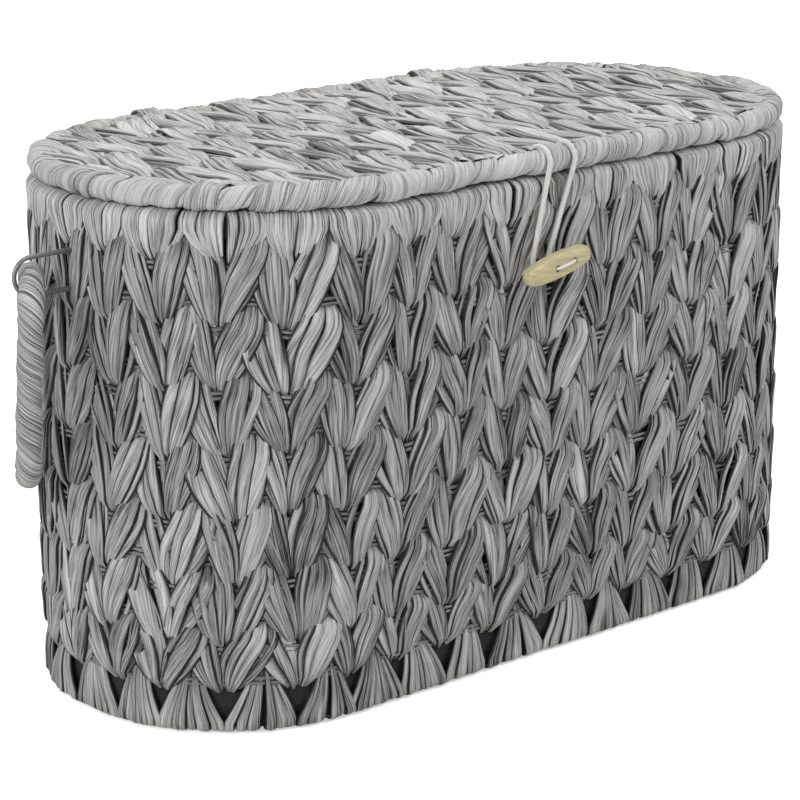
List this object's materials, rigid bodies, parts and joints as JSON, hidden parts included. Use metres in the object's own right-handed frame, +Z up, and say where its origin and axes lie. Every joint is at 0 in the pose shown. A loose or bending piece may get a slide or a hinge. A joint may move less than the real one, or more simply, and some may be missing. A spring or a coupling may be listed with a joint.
{
  "type": "toilet paper basket",
  "caption": "Oval paper-cord basket with a hinged woven lid, a wooden toggle with a cord loop, and a wrapped drop handle at each end, for spare toilet rolls",
  "frame": {"origin": "the middle of the flat face that the basket rests on", "axes": "+X along the basket towards its right end seen from the toggle, -Y towards the toggle at the front, +Z up"},
  "size_m": [0.4868, 0.2313, 0.2503],
  "materials": {
    "frame_wire": "satin grey wire",
    "eyelet_wire": "satin grey wire",
    "paper_cord": "matt grey twisted paper cord",
    "paper_cord_inside": "matt grey twisted paper cord",
    "toggle_wood": "smooth pale wood",
    "cotton_cord": "matt off-white cord"
  },
  "bodies": {
    "basket": {"basket_frame": "frame_wire", "wall_outer_weave": "paper_cord", "wall_inner_weave": "paper_cord_inside", "rim_border": "paper_cord", "base_border": "paper_cord", "base_under_weave": "paper_cord_inside", "base_floor_weave": "paper_cord_inside", "left_hinge_tie": "paper_cord", "right_hinge_tie": "paper_cord", "left_eyelet": "eyelet_wire", "right_eyelet": "eyelet_wire"},
    "lid": {"lid_frame": "frame_wire", "lid_border": "paper_cord", "lid_top_weave": "paper_cord", "lid_under_weave": "paper_cord_inside", "closure_loop": "cotton_cord"},
    "toggle": {"toggle": "toggle_wood", "toggle_thread": "cotton_cord"},
    "left_handle": {"left_handle": "paper_cord"},
    "right_handle": {"right_handle": "paper_cord"}
  },
  "joints": [
    {"name": "lid_hinge", "type": "hinge", "parent": "basket", "child": "lid", "pos_m": [0, 0.10335, 0.2421], "axis": [-1, 0, 0], "range_deg": [0, 110]},
    {"name": "toggle_turn", "type": "hinge", "parent": "basket", "child": "toggle", "pos_m": [-0.01239, -0.108, 0.1971], "axis": [0, -1, 0], "range_deg": [-90, 90]},
    {"name": "left_handle_swing", "type": "hinge", "parent": "basket", "child": "left_handle", "pos_m": [-0.22091, 0, 0.203], "axis": [0.521, 0.8536, 0], "range_deg": [0, 165]},
    {"name": "right_handle_swing", "type": "hinge", "parent": "basket", "child": "right_handle", "pos_m": [0.22091, 0, 0.203], "axis": [-0.521, -0.8536, 0], "range_deg": [0, 165]}
  ]
}
